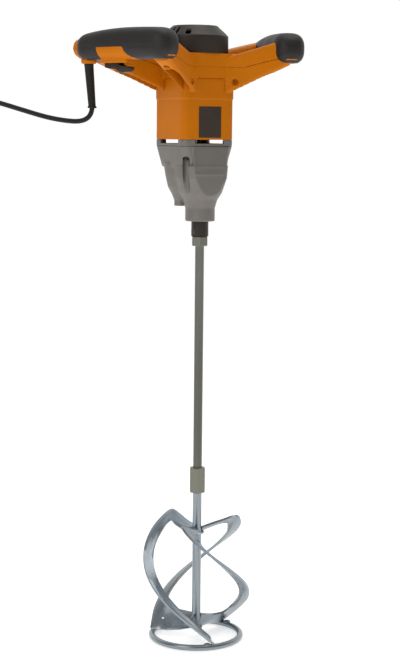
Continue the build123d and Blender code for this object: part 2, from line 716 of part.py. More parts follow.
with BuildPart() as above_seam:
    with BuildSketch(Plane.XZ.offset(-150)):
        with BuildLine():
            Polyline((-200, GRIP_SEAM_Z), (-120, GRIP_SEAM_Z), (-46, SEAM_Z), (46, SEAM_Z))
            Polyline((46, SEAM_Z), (120, GRIP_SEAM_Z), (200, GRIP_SEAM_Z))
            Polyline((200, GRIP_SEAM_Z), (200, 930), (-200, 930), (-200, GRIP_SEAM_Z))
        make_face()
    extrude(amount=300)

with BuildPart() as handle_lower_shell:
    add(bow_outer.part)
    add(above_seam.part, mode=Mode.SUBTRACT)
finish(handle_lower_shell, "handle_lower_shell")

with BuildPart() as handle_upper_shell:
    add(bow_outer.part)
    add(above_seam.part, mode=Mode.INTERSECT)
finish(handle_upper_shell, "handle_upper_shell")

for name, sign in (("right", 1), ("left", -1)):
    with BuildPart() as grip_rubber:
        add(grip_full if sign > 0 else grip_full.mirror(Plane.YZ))
        add(soft_zone.part, mode=Mode.INTERSECT)
        for part in (grip_core, arms_full):
            add(part if sign > 0 else part.mirror(Plane.YZ), mode=Mode.SUBTRACT)
        if sign < 0:
            for cut in (button_window, trigger_window):
                add(cut.part, mode=Mode.SUBTRACT)
            add(left_bar(GRIP_LENGTH + 9, GRIP_LENGTH + 30, DIAL_Z, BEZEL_R), mode=Mode.SUBTRACT)
    finish(grip_rubber, f"grip_rubber_{name}")

# ================================================================ controls
with BuildPart() as trigger:
    with BuildSketch(across_left(0, 0)):
        with BuildLine():
            Polyline((61, 834.5), (71, 834.5), (74.5, 841.8), (95, 843), (97.5, 846), (97.5, 856.5))
            Polyline((97.5, 856.5), (62.5, 856.5), (61.5, 846), (61, 834.5))
        make_face()
    extrude(amount=7.4, both=True)
    with BuildSketch(across_left(PIVOT_ALONG, TRIGGER_Z)):
        Circle(1.5 + RUN)
    extrude(amount=9.5, both=True, mode=Mode.SUBTRACT)
finish(trigger, "trigger")

with BuildPart() as lock_button:
    with BuildSketch(across_left(BUTTON_ALONG, BUTTON_Z).offset(12)):
        Circle(BUTTON_R)
    extrude(amount=12)
finish(lock_button, "lock_button")

with BuildPart() as speed_dial:
    add(left_bar(DIAL_BACK, DIAL_BACK + 6, DIAL_Z, DIAL_R))
    add(left_bar(GRIP_LENGTH + 6, DIAL_BACK, DIAL_Z, 3))
finish(speed_dial, "speed_dial")

with BuildPart() as switch_module:
    with BuildSketch(left_plane(TRIGGER_FROM + 1, 873)):
        Rectangle(16, 18)
    extrude(amount=36)
finish(switch_module, "switch_module")

with BuildPart() as speed_board:
    with BuildSketch(left_plane(GRIP_LENGTH - 26, DIAL_Z)):
        Rectangle(18, 1.6)
    extrude(amount=31)
    with BuildSketch(left_plane(GRIP_LENGTH - 3, DIAL_Z + 4)):
        Rectangle(12, 8)
    extrude(amount=8)
finish(speed_board, "speed_board")

# ================================================================ mains lead
with BuildPart() as cord_socket:
    with BuildSketch(level(845)):
        with Locations(SOCKET):
            Circle(10.2)
    with BuildSketch(level(848)):
        with Locations(SOCKET):
            Circle(11)
    loft()
    with BuildSketch(level(848)):
        with Locations(SOCKET):
            Circle(11)
    extrude(amount=7)
    for part in (grip_full, arms_full):
        add(part.mirror(Plane.YZ), mode=Mode.SUBTRACT)
finish(cord_socket, "cord_socket")

RELIEF_FOOT = (-146.2, 57.1)
with BuildPart() as strain_relief:
    with BuildSketch(level(845)):
        with Locations(SOCKET):
            Circle(6.7)
    with BuildSketch(level(787.5)):
        with Locations(RELIEF_FOOT):
            Circle(5.3)
    loft()
    with BuildSketch(level(785)):
        with Locations(RELIEF_FOOT):
            Circle(6.5)
    extrude(amount=2.5)
finish(strain_relief, "strain_relief")

CORD_R = 3.5
CORD_ROUTE = (
    (-146.2, 57.1, 785),
    (-146.7, 57.4, 776),
    (-152.4, 61.0, 765.5),
    (-162.6, 67.4, 761),
    (-177.6, 77.3, 762.5),
    (-200.2, 92.1, 768.5),
    (-230.5, 111.6, 780),
    (-261.6, 131.6, 791),
    (-282.0, 144.3, 795),
    (-299.5, 154.1, 786),
    (-311.3, 159.7, 765),
    (-317.7, 160.8, 732),
    (-321.5, 158.4, 670),
    (-324.7, 153.3, 590),
    (-325.3, 146.7, 500),
    (-325.1, 139.5, 405),
    (-323.2, 131.2, 310),
    (-320.8, 123.8, 220),
    (-318.1, 118.6, 145),
    (-317.5, 115.8, 95),
    (-319.4, 116.5, 56),
    (-326.5, 120.3, 26),
    (-340.1, 128.8, 8.5),
    (-356.9, 139.7, 3.6),
    (-366.2, 147.2, 3.6),
)
route = [Vector(*point) for point in CORD_ROUTE]
radii = []
for before, corner, after in zip(route, route[1:], route[2:]):
    half_turn = math.radians((corner - before).get_angle(after - corner)) / 2
    shorter = min((corner - before).length, (after - corner).length)
    radii.append(0.45 * shorter / math.tan(half_turn))
print("cord arcs", [round(radius) for radius in radii])

with BuildPart() as cord_tube:
    with BuildLine() as cord_path:
        FilletPolyline(*route, radius=radii)
    with BuildSketch(Plane(origin=route[0], z_dir=route[1] - route[0])):
        Circle(CORD_R)
    sweep()
finish(cord_tube, "cord_tube")
length = sum(edge.length for edge in cord_path.edges())
share = cord_tube.part.volume / (length * math.pi * CORD_R**2)
print("cord tube length", round(length), "volume over section times length", round(share, 4))

COIL_AT = Vector(-337.6, 177.9, 0)
COIL_R, COIL_EYE_R, COIL_HEIGHT = 46.0, 31.0, 21.0
with BuildPart() as cord_coil:
    with BuildSketch(level(0, COIL_AT)):
        Circle(COIL_R)
        Circle(COIL_EYE_R, mode=Mode.SUBTRACT)
    extrude(amount=COIL_HEIGHT)
    fillet(cord_coil.edges(), 3)
finish(cord_coil, "cord_coil")

PLUG_FROM = Vector(-334.6, 209.1, COIL_HEIGHT + 13)  # rear of the plug, which lies on the coil
PLUG_DIR = Vector(0.848, -0.53, 0).normalized()


def plug_plane(along):
    return Plane(origin=PLUG_FROM + PLUG_DIR * along, x_dir=(0, 0, 1), z_dir=PLUG_DIR)


with BuildPart() as plug_body:
    for along, height, width in ((0, 9, 10), (12, 13, 15)):
        with BuildSketch(plug_plane(along)):
            RectangleRounded(height, width, 4)
    loft()
    with BuildSketch(plug_plane(12)):
        RectangleRounded(26, 36, 8)
    extrude(amount=28)
finish(plug_body, "plug_body")

with BuildPart() as plug_pins:
    with BuildSketch(plug_plane(40)):
        with GridLocations(0, 19, 1, 2):
            Circle(2.4)
    extrude(amount=19)
finish(plug_pins, "plug_pins")
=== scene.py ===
"""Paddle mixer: the looks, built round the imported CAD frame.

The scene is in metres. Tables of sizes are in millimetres, and go through mm() or MM.
"""
import json
import math

import bmesh
import bpy
from mathutils import Matrix, Vector, noise


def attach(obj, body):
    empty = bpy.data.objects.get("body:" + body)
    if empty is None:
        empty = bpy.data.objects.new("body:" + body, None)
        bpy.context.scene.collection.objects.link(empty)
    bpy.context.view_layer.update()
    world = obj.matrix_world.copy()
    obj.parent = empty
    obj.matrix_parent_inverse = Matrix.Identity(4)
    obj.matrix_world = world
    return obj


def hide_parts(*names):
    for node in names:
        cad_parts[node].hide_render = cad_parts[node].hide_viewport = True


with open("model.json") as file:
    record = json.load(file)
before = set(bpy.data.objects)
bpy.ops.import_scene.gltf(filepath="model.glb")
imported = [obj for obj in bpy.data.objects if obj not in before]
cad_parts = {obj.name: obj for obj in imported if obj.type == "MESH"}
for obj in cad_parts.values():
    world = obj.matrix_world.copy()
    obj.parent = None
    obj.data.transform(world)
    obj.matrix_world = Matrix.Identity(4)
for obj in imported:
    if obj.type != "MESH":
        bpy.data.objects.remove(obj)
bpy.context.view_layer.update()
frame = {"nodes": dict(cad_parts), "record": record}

MM = 0.001
MOTOR = Vector((0, 18 * MM, 0))  # the motor's axis; the spindle's is the origin


def mm(*values):
    return Vector([value * MM for value in values])


# ================================================================ camera
AZIMUTH, PITCH, ROLL = math.radians(-32), math.radians(7.5), math.radians(0.57)
DISTANCE, EYE_HEIGHT, SIDE_STEP = 2.3, 0.76, 0.0113
LENS, SENSOR = 85.135, 36.0


def place_camera():
    """A long lens at the height of the motor, looking slightly down."""
    right = Vector((math.cos(AZIMUTH), math.sin(AZIMUTH), 0))
    level = Vector((-math.sin(AZIMUTH), math.cos(AZIMUTH), 0))
    forward = level * math.cos(PITCH) - Vector((0, 0, math.sin(PITCH)))
    up = right.cross(forward)
    tilted_right = right * math.cos(ROLL) + up * math.sin(ROLL)
    tilted_up = up * math.cos(ROLL) - right * math.sin(ROLL)
    data = bpy.data.cameras.new("camera")
    data.lens, data.sensor_width, data.clip_end = LENS, SENSOR, 50
    camera = bpy.data.objects.new("camera", data)
    place = Matrix((tilted_right, tilted_up, -forward)).transposed().to_4x4()
    place.translation = MOTOR - level * DISTANCE + right * SIDE_STEP + Vector((0, 0, EYE_HEIGHT))
    camera.matrix_world = place
    bpy.context.scene.collection.objects.link(camera)
    bpy.context.scene.camera = camera


place_camera()


# ================================================================ materials
class Nodes:
    """A material's node tree, with short calls for the nodes used here."""

    def __init__(self, name, **sockets):
        self.material = bpy.data.materials.new(name)
        self.material.use_nodes = True
        self.tree = self.material.node_tree
        self.shader = self.tree.nodes["Principled BSDF"]
        self.place = self.add("ShaderNodeTexCoord").outputs["Object"]
        for socket, value in sockets.items():
            self.shader.inputs[socket.replace("_", " ")].default_value = value

    def add(self, kind, **settings):
        node = self.tree.nodes.new(kind)
        for setting, value in settings.items():
            setattr(node, setting, value)
        return node

    def join(self, out, into):
        self.tree.links.new(out, into)

    def stretched(self, scale):
        """Object coordinates scaled unevenly, for drawn or brushed metal."""
        node = self.add("ShaderNodeMapping")
        node.inputs["Scale"].default_value = scale
        self.join(self.place, node.inputs["Vector"])
        return node.outputs["Vector"]

    def noise(self, scale, detail=3.0, roughness=0.5, place=None):
        node = self.add("ShaderNodeTexNoise")
        node.inputs["Scale"].default_value = scale
        node.inputs["Detail"].default_value = detail
        node.inputs["Roughness"].default_value = roughness
        self.join(place or self.place, node.inputs["Vector"])
        return node.outputs["Fac"]

    def ramp(self, value, *stops):
        """Colour or grey along value: (position, (r, g, b)) or (position, grey)."""
        node = self.add("ShaderNodeValToRGB")
        elements = node.color_ramp.elements
        while len(elements) < len(stops):
            elements.new(0.5)
        for element, (position, colour) in zip(elements, stops):
            element.position = position
            rgb = colour if isinstance(colour, tuple) else (colour, colour, colour)
            element.color = (*rgb, 1)
        self.join(value, node.inputs["Fac"])
        return node.outputs["Color"]

    def bump(self, *layers):
        """Layers of (height, strength, distance) on the normal."""
        normal = None
        for height, strength, distance in layers:
            node = self.add("ShaderNodeBump")
            node.inputs["Strength"].default_value = strength
            node.inputs["Distance"].default_value = distance
            self.join(height, node.inputs["Height"])
            if normal:
                self.join(normal, node.inputs["Normal"])
            normal = node.outputs["Normal"]
        self.join(normal, self.shader.inputs["Normal"])

    def colour(self, out):
        self.join(out, self.shader.inputs["Base Color"])

    def gloss(self, out):
        self.join(out, self.shader.inputs["Roughness"])


def moulded(name, light, dark, rough, grain=900.0, strength=0.12, shine=0.3):
    """Injection-moulded plastic: faint flow marks in the colour and an etched grain."""
    nodes = Nodes(name, Specular_IOR_Level=shine)
    cloud = nodes.noise(14.0, 2.0)
    nodes.colour(nodes.ramp(cloud, (0.3, dark), (0.7, light)))
    nodes.gloss(nodes.ramp(nodes.noise(60.0), (0.3, rough - 0.06), (0.7, rough + 0.06)))
    nodes.bump((nodes.noise(grain, 2.0), strength, 0.0002))
    return nodes.material


def soft_rubber(name, light, dark):
    """Overmoulded rubber: fine pebbles, and paler where it is handled."""
    nodes = Nodes(name, Specular_IOR_Level=0.4)
    pebbles = nodes.add("ShaderNodeTexVoronoi")
    pebbles.inputs["Scale"].default_value = 850.0
    nodes.join(nodes.place, pebbles.inputs["Vector"])
    nodes.colour(nodes.ramp(nodes.noise(22.0, 3.0), (0.35, dark), (0.75, light)))
    nodes.gloss(nodes.ramp(nodes.noise(45.0), (0.3, 0.48), (0.7, 0.6)))
    nodes.bump((pebbles.outputs["Distance"], 0.25, 0.00012), (nodes.noise(240.0), 0.08, 0.0002))
    return nodes.material


def cast_paint(name, light, dark):
    """Paint on a pressure casting: soft mottling and a faint sandy skin."""
    nodes = Nodes(name, Metallic=0.35)
    nodes.colour(nodes.ramp(nodes.noise(26.0, 4.0), (0.3, dark), (0.7, light)))
    nodes.gloss(nodes.ramp(nodes.noise(90.0, 3.0), (0.3, 0.42), (0.7, 0.56)))
    nodes.bump((nodes.noise(1300.0, 2.0), 0.2, 0.00015), (nodes.noise(160.0), 0.12, 0.0004))
    return nodes.material


def plated(name, cool, warm, rough=0.3):
    """Zinc plating: cool and yellowish clouds, with drawing marks along the bar."""
    nodes = Nodes(name, Metallic=0.92)
    drawn = nodes.noise(420.0, 3.0, 0.6, nodes.stretched((1.0, 1.0, 0.04)))
    cloud = nodes.noise(9.0, 3.0)
    nodes.colour(nodes.ramp(cloud, (0.32, cool), (0.68, warm)))
    nodes.gloss(nodes.ramp(drawn, (0.3, rough - 0.04), (0.7, rough + 0.06)))
    nodes.bump((drawn, 0.05, 0.0001), (nodes.noise(60.0), 0.06, 0.0002))
    return nodes.material


def plain_metal(name, colour, rough, metallic=1.0):
    nodes = Nodes(name, Metallic=metallic)
    darker = tuple(channel * 0.82 for channel in colour)
    nodes.colour(nodes.ramp(nodes.noise(40.0), (0.3, darker), (0.7, colour)))
    nodes.gloss(nodes.ramp(nodes.noise(180.0), (0.3, rough - 0.05), (0.7, rough + 0.08)))
    nodes.bump((nodes.noise(700.0), 0.08, 0.0001))
    return nodes.material


MATERIALS = {
    "orange_plastic": moulded(
        "orange_plastic", (0.60, 0.172, 0.0015), (0.55, 0.153, 0.0015), 0.45, shine=0.09
    ),
    "black_plastic": moulded("black_plastic", (0.032, 0.024, 0.0175), (0.024, 0.018, 0.013), 0.42),
    "soft_grip": soft_rubber("soft_grip", (0.017, 0.0145, 0.0135), (0.012, 0.010, 0.0092)),
    "cord_rubber": moulded(
        "cord_rubber", (0.018, 0.017, 0.015), (0.013, 0.012, 0.011), 0.46, 1200.0, shine=0.22
    ),
    "gearbox_paint": cast_paint("gearbox_paint", (0.208, 0.192, 0.172), (0.178, 0.163, 0.146)),
    "zinc_steel": plated("zinc_steel", (0.27, 0.315, 0.36), (0.31, 0.335, 0.335)),
    "black_steel": plain_metal("black_steel", (0.045, 0.038, 0.034), 0.36, 0.6),
    "steel": plain_metal("steel", (0.52, 0.52, 0.52), 0.32),
    "copper": plain_metal("copper", (0.72, 0.33, 0.17), 0.35),
    "brass": plain_metal("brass", (0.78, 0.60, 0.28), 0.25),
    "carbon": moulded("carbon", (0.05, 0.05, 0.05), (0.03, 0.03, 0.03), 0.6),
    "board": moulded("board", (0.02, 0.16, 0.07), (0.01, 0.10, 0.04), 0.4),
    "label": moulded("label", (0.050, 0.036, 0.026), (0.042, 0.030, 0.022), 0.3, 1500.0, 0.03),
}
# two darker copies of the zinc plating for pieces of the zinc_steel slot: painted shade on the upper
# shaft, and on the coupling and the nut
SHADED_SHAFT_STEEL = plated("shaded_shaft_steel", (0.120, 0.128, 0.120), (0.150, 0.148, 0.118), 0.36)
SHADED_HEXAGON_STEEL = plated("shaded_hexagon_steel", (0.205, 0.210, 0.190), (0.240, 0.235, 0.185), 0.42)

# ================================================================ mesh helpers
SLOT_OF = {entry["node"]: entry["material_slot"] for entry in frame["record"]["subparts"]}
BODY_OF = {
    node: body for body, nodes in frame["record"]["behaviour"]["bodies"].items() for node in nodes
}


def paint(obj, slot):
    obj.data.materials.clear()
    obj.data.materials.append(MATERIALS[slot])


def smooth_by_angle(mesh, degrees):
    """Smooth shading, with edges sharper than the angle left crisp."""
    for polygon in mesh.polygons:
        polygon.use_smooth = True
    mesh.set_sharp_from_angle(angle=math.radians(degrees))


def own(obj, slot, body, *nodes):
    """Finishes a piece: its material, its body and the CAD nodes that it stands for."""
    paint(obj, slot)
    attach(obj, body)
    if nodes:
        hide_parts(*nodes)
    return obj


def from_bmesh(name, shape, angle=35):
    mesh = bpy.data.meshes.new(name)
    bmesh.ops.recalc_face_normals(shape, faces=shape.faces[:])
    shape.to_mesh(mesh)
    shape.free()
    smooth_by_angle(mesh, angle)
    obj = bpy.data.objects.new(name, mesh)
    bpy.context.scene.collection.objects.link(obj)
    return obj


def baked(obj):
    """The object with its modifiers applied to its mesh."""
    graph = bpy.context.evaluated_depsgraph_get()
    mesh = bpy.data.meshes.new_from_object(obj.evaluated_get(graph))
    obj.modifiers.clear()
    old, obj.data = obj.data, mesh
    bpy.data.meshes.remove(old)
    return obj


def cut(obj, cutter, operation="DIFFERENCE"):
    """Takes the cutter's space out of the object, or keeps only that space."""
    boolean = obj.modifiers.new("cut", "BOOLEAN")
    boolean.object = cutter
    boolean.operation = operation
    boolean.solver = "EXACT"
    baked(obj)
    bpy.data.objects.remove(cutter)


def add_skin(shape, rings, endless=False):
    """Adds a skin through rings of points, capped at both ends or joined up endlessly."""
    made = [[shape.verts.new(point) for point in ring] for ring in rings]
    following = made[1:] + made[:1] if endless else made[1:]
    for lower, upper in zip(made, following):
        for index in range(len(lower)):
            after = (index + 1) % len(lower)
            shape.faces.new((lower[index], lower[after], upper[after], upper[index]))
    if not endless:
        shape.faces.new(list(reversed(made[0])))
        shape.faces.new(made[-1])


def softened(node, voxel, rounds, fillers=()):
    """A copy of a CAD node and any fillers as one, with its edges rounded as a mould leaves them."""
    shape = bmesh.new()
    shape.from_mesh(frame["nodes"][node].data)
    for levels in fillers:
        add_skin(shape, [[mm(*corner) for corner in level] for level in levels])
    mesh = bpy.data.meshes.new(node)
    shape.to_mesh(mesh)
    shape.free()
    obj = bpy.data.objects.new(f"{node}_moulded", mesh)
    bpy.context.scene.collection.objects.link(obj)
    remesh = obj.modifiers.new("remesh", "REMESH")
    remesh.mode = "VOXEL"
    remesh.voxel_size = voxel * MM
    remesh.adaptivity = 0.0
    smooth = obj.modifiers.new("smooth", "SMOOTH")
    smooth.factor = 0.5
    smooth.iterations = rounds
    baked(obj)
    smooth_by_angle(obj.data, 30)
    return own(obj, SLOT_OF[node], BODY_OF[node], node)


def through_rings(name, rings, angle=35, endless=False):
    """A bare object with a skin through rings of points."""
    shape = bmesh.new()
    add_skin(shape, rings, endless)
    return from_bmesh(name, shape, angle)


def ring_tube(name, rings, slot, body, *nodes, angle=35, endless=False):
    """A finished piece with a skin through rings of points."""
    return own(through_rings(name, rings, angle, endless), slot, body, *nodes)


def circle(middle, radius, count, x_dir=Vector((1, 0, 0)), y_dir=Vector((0, 1, 0))):
    turns = [2 * math.pi * index / count for index in range(count)]
    return [middle + radius * (x_dir * math.cos(turn) + y_dir * math.sin(turn)) for turn in turns]


def lathe(name, profile, slot, body, *nodes):
    """A turned piece on the spindle's axis from (radius, height)."""
    rings = [circle(mm(0, 0, z), radius * MM, 64) for radius, z in profile]
    return ring_tube(name, rings, slot, body, *nodes)


def smooth_curve(points, per_span):
    """Points along a Catmull-Rom curve through the points of a table."""
    ends = [points[0], *points, points[-1]]
    result = []
    for a, b, c, d in zip(ends, ends[1:], ends[2:], ends[3:]):
        for index in range(per_span):
            t = index / per_span
            result.append(tuple(
                0.5 * (2 * b[k] + (c[k] - a[k]) * t + (2 * a[k] - 5 * b[k] + 4 * c[k] - d[k]) * t * t
                       + (3 * b[k] - a[k] - 3 * c[k] + d[k]) * t * t * t)
                for k in range(len(b))
            ))
    return result + [points[-1]]


# ================================================================ mains lead
CORD_R = 3.5 * MM
ROUTE = (
    (-0.1462, 0.0571, 0.785),
    (-0.1467, 0.0574, 0.777),
    (-0.1520, 0.0607, 0.768),
    (-0.1620, 0.0672, 0.764),
    (-0.1776, 0.0773, 0.765),
    (-0.2002, 0.0921, 0.7695),
    (-0.2305, 0.1116, 0.780),
    (-0.2616, 0.1316, 0.791),
    (-0.2820, 0.1443, 0.795),
    (-0.2995, 0.1541, 0.786),
    (-0.3113, 0.1597, 0.765),
    (-0.3177, 0.1608, 0.732),
    (-0.3215, 0.1584, 0.670),
    (-0.3247, 0.1533, 0.590),
    (-0.3253, 0.1467, 0.500),
    (-0.3251, 0.1395, 0.405),
    (-0.3232, 0.1312, 0.310),
    (-0.3208, 0.1238, 0.220),
    (-0.3181, 0.1186, 0.145),
    (-0.3175, 0.1158, 0.095),
    (-0.3194, 0.1165, 0.056),
    (-0.3265, 0.1203, 0.026),
    (-0.3401, 0.1288, 0.0085),
    (-0.3569, 0.1397, 0.0036),
    (-0.3662, 0.1472, 0.0036),
)
COIL_MIDDLE = mm(-337.6, 177.9, 0)
COIL_TURNS = (  # (radius, height) at the start of each turn, and at the end of the last
    (41.8, 3.7), (35.0, 3.7), (35.2, 10.6), (41.8, 10.6), (41.6, 17.3), (35.2, 17.3), (35.2, 17.3),
)
COIL_START = -133  # degrees, where the lead meets the coil; it winds clockwise
POINTS_PER_TURN = 18
GLIDE_FROM = 0.66  # the share of a turn after which it glides to the next
END_STEPS = (0, 20, 40, 60)  # degrees past the last turn before the lead rises to the plug
RISE = ((143, 36, 20), (122, 36, 27), (105, 35.5, 32))  # (degrees, radius, height) up to the plug
PLUG_REAR = mm(-334.6, 209.1, 34)
PLUG_DIR = Vector((0.848, -0.53, 0)).normalized()


def coil_point(degrees, radius, z):
    turn = math.radians(degrees)
    return COIL_MIDDLE + mm(radius * math.cos(turn), radius * math.sin(turn), z)


def coil_points():
    """Six turns laid beside and on each other; each glides to the next in its last third."""
    points = []
    for number, (now, then) in enumerate(zip(COIL_TURNS, COIL_TURNS[1:])):
        for index in range(POINTS_PER_TURN):
            share = index / POINTS_PER_TURN
            glide = max(0.0, (share - GLIDE_FROM) / (1 - GLIDE_FROM))
            glide = glide * glide * (3 - 2 * glide)
            radius = now[0] + (then[0] - now[0]) * glide
            z = now[1] + (then[1] - now[1]) * glide
            points.append(coil_point(COIL_START - 360 * (number + share), radius, z))
    radius, z = COIL_TURNS[-1]
    points += [coil_point(COIL_START - step, radius, z) for step in END_STEPS]
    return points[1:]


def make_cord():
    """The lead as one round curve: the route, the coil and the rise into the plug."""
    points = [Vector(point) for point in ROUTE] + coil_points()
    points += [coil_point(*place) for place in RISE]
    points += [PLUG_REAR - PLUG_DIR * 0.008, PLUG_REAR, PLUG_REAR + PLUG_DIR * 0.004]
    curve = bpy.data.curves.new("mains_lead", "CURVE")
    curve.dimensions = "3D"
    curve.bevel_depth = CORD_R
    curve.bevel_resolution = 6
    curve.resolution_u = 8
    curve.use_fill_caps = True
    spline = curve.splines.new("NURBS")
    spline.points.add(len(points) - 1)
    for point, place in zip(spline.points, points):
        point.co = (*place, 1)
    spline.order_u = 3
    spline.use_endpoint_u = True
    cord = bpy.data.objects.new("mains_lead", curve)
    bpy.context.scene.collection.objects.link(cord)
    return own(cord, "cord_rubber", "housing", "cord_tube", "cord_coil")


SLEEVE_TOP, SLEEVE_FOOT = mm(-151.0, 58.3, 845), mm(-146.2, 57.1, 783)
TAPER_STEPS = 18


def make_strain_relief():
    """A tapered sleeve with a collar at its lower end, from (share of its length, radius)."""
    profile = [(0, 6.9), (0.02, 6.9), (0.05, 6.6)]
    for step in range(1, TAPER_STEPS):
        profile.append((0.05 + 0.9 * step / TAPER_STEPS, 6.6 - 1.3 * step / TAPER_STEPS))
    profile += [(0.95, 5.3), (0.957, 6.3), (0.975, 6.5), (0.99, 6.3), (1.0, 5.6)]
    rings = [circle(SLEEVE_TOP.lerp(SLEEVE_FOOT, share), radius * MM, 40) for share, radius in profile]
    return ring_tube("strain_relief_sleeve", rings, "cord_rubber", "housing", "strain_relief", angle=50)


mains_lead = make_cord()
sleeve = make_strain_relief()
plug = softened("plug_body", 0.7, 4)
paint(frame["nodes"]["plug_pins"], "brass")


# ================================================================ stirrer
BLADES, FIRST_START = 3, -19.6  # degrees at which the first blade leaves the shaft
TURN_DEGREES = 152
BLADE_TURN = math.radians(TURN_DEGREES)
BLADE_TOP, BLADE_FOOT = 180.0, 18.0  # heights between which the sheet winds by that turn
SHEET, EDGE_EASE = 3.8, 0.5  # the sheet's thickness, and how far its edges are eased
ARM_MIDDLE, ARM_RISE = 163.0, 0.3  # the upper arm's height at the shaft, and its rise outwards
FOOT_MIDDLE = 20.0
ARM_LEAN, FOOT_LEAN = 1.25, 0.7  # how far the arm and the foot lean back, near the shaft
SPLIT_Z = 90  # the arm is above this height, the foot below
HOLE_AT, HOLE_R = (53.0, 22.0), 2.1  # a small hole through the foot of each blade
OUTLINE = (  # the flat sheet's outer and inner edges as (radius, height), from the shaft out and down
    (
        (6.0, 169.0), (20.0, 173.0), (40.0, 179.0), (54.0, 183.6), (61.5, 183.0), (67.5, 177.0),
        (74.5, 160.0), (79.2, 130.0), (80.8, 95.0), (78.5, 62.0), (73.5, 36.0), (70.0, 20.0),
        (69.0, 11.0), (66.0, 7.5), (55.0, 8.5), (40.0, 10.0), (20.0, 11.5), (6.0, 13.0),
    ),
    (
        (6.0, 159.0), (20.0, 163.0), (34.0, 167.4), (46.0, 171.0), (51.0, 168.5), (55.5, 160.0),
        (60.8, 145.0), (64.6, 122.0), (65.8, 94.0), (63.8, 68.0), (60.6, 52.0), (56.4, 42.0),
        (50.5, 36.5), (43.0, 34.5), (34.0, 33.5), (24.0, 33.5), (14.0, 34.5), (6.0, 36.0),
    ),
)
RING_R, RING_BAR_R = 66, 4.4
SHAFT_R = 6.5
SHAFTS_MEET = 241  # height inside the coupling where the two shafts meet
COUPLING_FOOT, COUPLING_TOP, COUPLING_BORE = 221.5, 259, 6.4
NUT_FOOT, NUT_TOP = 587, 601
FLATS, HEXAGON_POINTS = 22, 72  # across the flats of the coupling and the nut
WELDS = (  # name, degrees past the blade's start, radius, height, half sizes, seed
    ("ring_weld", TURN_DEGREES, RING_R + 0.5, 8.6, (5.5, 4.5, 2.6), 0),
    ("hub_weld", 14, 7.5, 160, (4.0, 4.0, 3.4), 5),
    ("base_weld", 138, 7.0, 14, (3.6, 3.6, 3.0), 9),
)


def twisted(radius, z, start, side):
    """A point of the flat sheet, twisted round the shaft, on one side of its thickness."""
    share = (BLADE_TOP - z) / (BLADE_TOP - BLADE_FOOT)
    turn = start + BLADE_TURN * share
    out = Vector((math.cos(turn), math.sin(turn), 0))
    across = Vector((-out.y, out.x, 0))
    inside = min(1.0, max(0.0, (60 - radius) / 24))
    lean = ARM_LEAN if z > SPLIT_Z else FOOT_LEAN * min(1.0, radius / 24)
    lean = lean * inside * inside * (3 - 2 * inside)
    steep = BLADE_TURN / (BLADE_TOP - BLADE_FOOT) * radius + lean
    normal = (across + Vector((0, 0, steep))).normalized()
    middle = ARM_MIDDLE + ARM_RISE * radius if z > SPLIT_Z else FOOT_MIDDLE
    slip = -lean * (z - middle)
    return (out * radius + across * slip + Vector((0, 0, z)) + normal * side) * MM


def make_blade(number, degrees):
    """One C-shaped sheet, twisted, with its edges slightly rounded."""
    start = math.radians(degrees)
    outer, inner = (smooth_curve(edge, 6) for edge in OUTLINE)
    half = SHEET / 2
    rings = []
    for a, b in zip(outer, inner):
        rows = [a, (a[0] * 0.96 + b[0] * 0.04, a[1] * 0.96 + b[1] * 0.04)]
        for share in (0.35, 0.65, 0.96, 1.0):
            rows.append((a[0] + (b[0] - a[0]) * share, a[1] + (b[1] - a[1]) * share))
        front = [half - EDGE_EASE, half, half, half, half, half - EDGE_EASE]
        ring = [twisted(*row, start, side) for row, side in zip(rows, front)]
        ring += [twisted(*row, start, -side) for row, side in zip(reversed(rows), reversed(front))]
        rings.append(ring)
    sheet = ring_tube(f"blade_{number}_sheet", rings, "zinc_steel", "spindle", f"blade_{number}", angle=40)
    near, far = (twisted(*HOLE_AT, start, side) for side in (-6, 6))
    axis = (far - near).normalized()
    x_dir = axis.orthogonal().normalized()
    y_dir = axis.cross(x_dir)
    ends = [circle(end, HOLE_R * MM, 24, x_dir, y_dir) for end in (near, far)]
    cut(sheet, through_rings("cutter", ends))
    smooth_by_angle(sheet.data, 40)


def weld(name, degrees, radius, z, size, seed):
    """A lumpy bead of weld."""
    turn = math.radians(degrees)
    middle = mm(radius * math.cos(turn), radius * math.sin(turn), z)
    shape = bmesh.new()
    bmesh.ops.create_icosphere(shape, subdivisions=3, radius=1.0)
    for vertex in shape.verts:
        lump = 1 + 0.16 * noise.noise(vertex.co * 2.2 + Vector((seed, 0, 0)))
        vertex.co = middle + Vector([vertex.co[k] * size[k] * MM * lump for k in range(3)])
    return own(from_bmesh(name, shape, 60), "zinc_steel", "spindle")


def hexagon(name, bottom, top, bore, chamfer, node):
    """A hexagon bar with chamfered ends and slightly trimmed corners."""
    corner = 0.985 * FLATS / math.sqrt(3)
    levels = (
        (bottom, chamfer),
        (bottom + chamfer * 0.7, 0),
        (top - chamfer * 0.7, 0),
        (top, chamfer),
    )
    rings = []
    for z, shrink in levels:
        ring = []
        for index in range(HEXAGON_POINTS):
            turn = 2 * math.pi * index / HEXAGON_POINTS
            wedge = (turn % (math.pi / 3)) - math.pi / 6
            radius = min(FLATS / 2 / math.cos(wedge), corner) - shrink
            ring.append(mm(radius * math.cos(turn), radius * math.sin(turn), z))
        rings.append(ring)
    if bore:
        rings.insert(0, circle(mm(0, 0, bottom), bore * MM, HEXAGON_POINTS))
        rings.append(circle(mm(0, 0, top), bore * MM, HEXAGON_POINTS))
    bar = ring_tube(name, rings, "zinc_steel", "spindle", node, angle=25)
    # painted shade: the coupling and the nut take a darker copy of the zinc plating
    bar.data.materials[0] = SHADED_HEXAGON_STEEL


